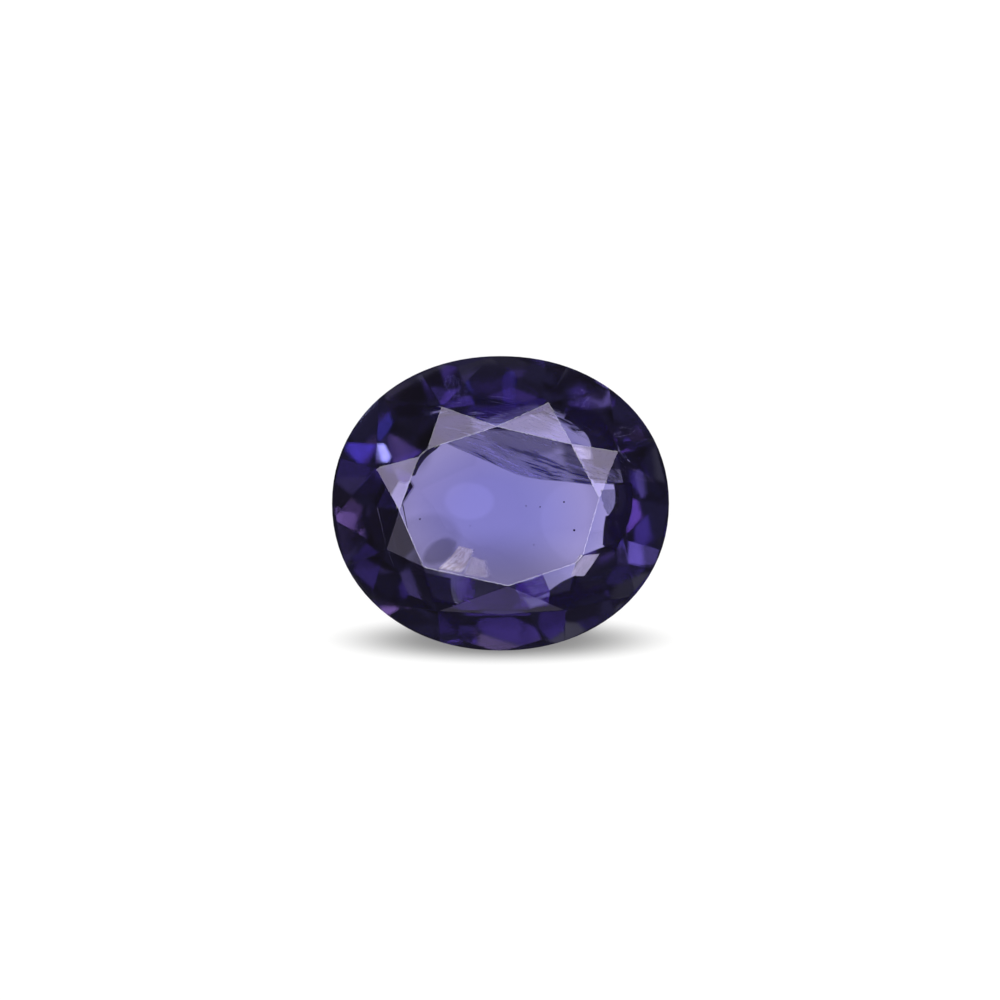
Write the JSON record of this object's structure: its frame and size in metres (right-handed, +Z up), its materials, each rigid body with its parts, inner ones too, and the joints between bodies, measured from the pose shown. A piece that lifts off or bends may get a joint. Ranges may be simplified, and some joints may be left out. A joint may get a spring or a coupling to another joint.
{
  "type": "faceted gemstone",
  "caption": "Loose faceted violet-blue iolite: near-round oval, flat table, star, kite and girdle facets, and a low hand-cut pavilion ending in a small flat facet that it rests on.",
  "frame": {"origin": "centre of the stone's bounding box, on the surface it rests on", "axes": "+X along the oval's length, +Y across its width, +Z up; the stone rests on its culet facet, so the table faces up, 4 degrees off level towards -Y"},
  "size_m": [0.0104, 0.009, 0.0048],
  "materials": {
    "iolite": "polished, transparent violet-blue crystal, refractive index 1.54"
  },
  "bodies": {
    "root": {"gemstone": "iolite"}
  },
  "joints": []
}
